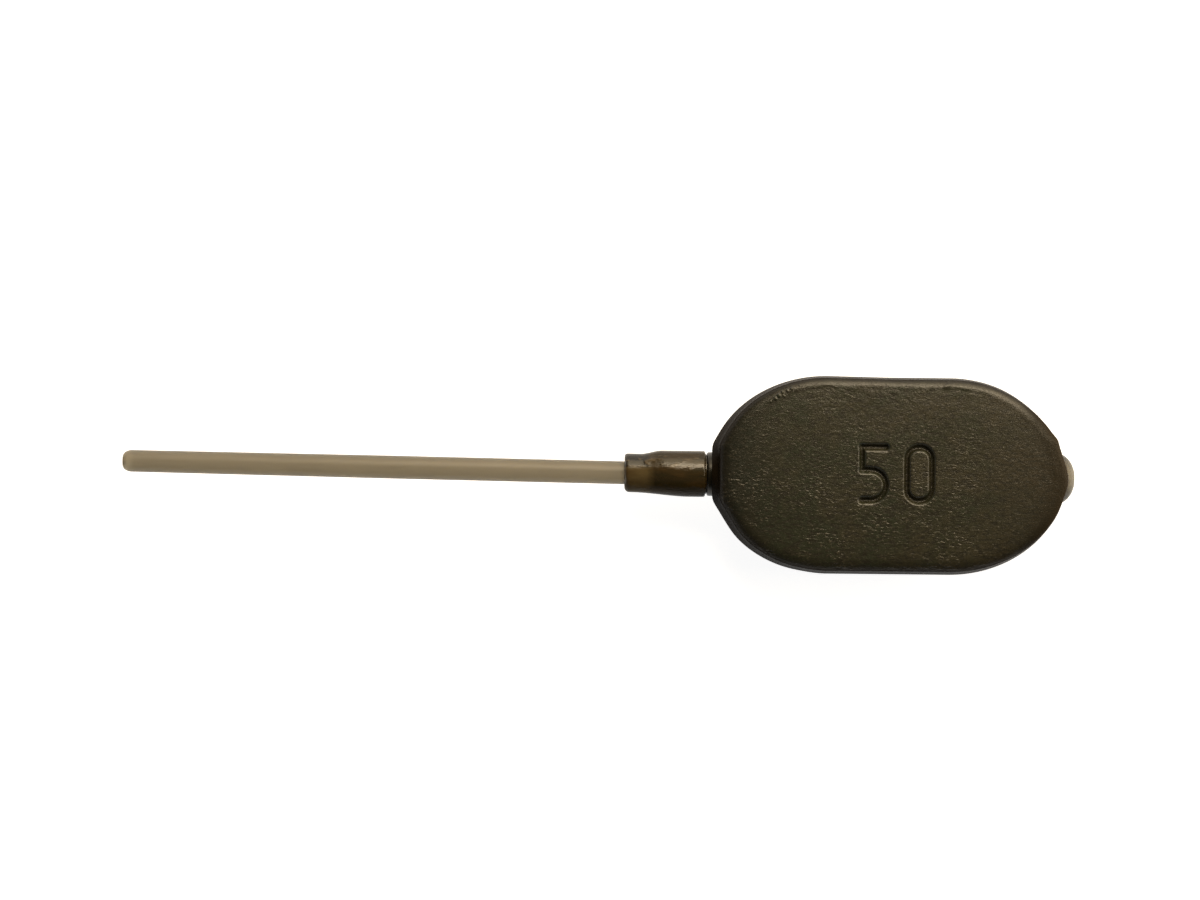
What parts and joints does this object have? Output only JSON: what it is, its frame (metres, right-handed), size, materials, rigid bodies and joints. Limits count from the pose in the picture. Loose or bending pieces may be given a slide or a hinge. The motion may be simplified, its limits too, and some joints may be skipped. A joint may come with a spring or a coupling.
{
  "type": "method feeder",
  "caption": "Inline flat fishing feeder: a cast oval lead plate under a ribbed bait frame, with a hollow stem, a soft tail sleeve and a long tail tube for the line.",
  "frame": {"origin": "centre of the middle rib's crown, on the table that the feeder lies on as pictured, below the middle of the lead plate", "axes": "+X along the line from the tail tube to the nose, +Z from the rib crowns up to the marked lead face, +Y to the upper side of the picture. In the water the lead face lies down, so the part is turned over about X."},
  "size_m": [0.1363, 0.0284, 0.0119],
  "materials": {
    "coated_lead": "fine-grained dark olive-brown coating over cast lead, satin",
    "olive_plastic": "moulded dark olive plastic, satin",
    "tan_plastic": "smooth tan plastic, slightly translucent",
    "brown_rubber": "glossy olive-brown soft rubber, slightly translucent",
    "tan_tubing": "extruded tan tubing, slightly translucent satin"
  },
  "bodies": {
    "feeder": {"lead_weight": "coated_lead", "bait_frame": "olive_plastic"},
    "stem": {"stem": "tan_plastic"},
    "sleeve": {"tail_sleeve": "brown_rubber"},
    "tube": {"tail_tube": "tan_tubing"}
  },
  "joints": [
    {"name": "stem_withdraw", "type": "slide", "parent": "feeder", "child": "stem", "axis": [1, 0, 0], "range_m": [0, 0.06]},
    {"name": "sleeve_pull", "type": "slide", "parent": "feeder", "child": "sleeve", "axis": [-1, 0, 0], "range_m": [0, 0.01]},
    {"name": "tube_pull", "type": "slide", "parent": "sleeve", "child": "tube", "axis": [-0.9999, 0.014, 0], "range_m": [0, 0.006]}
  ]
}
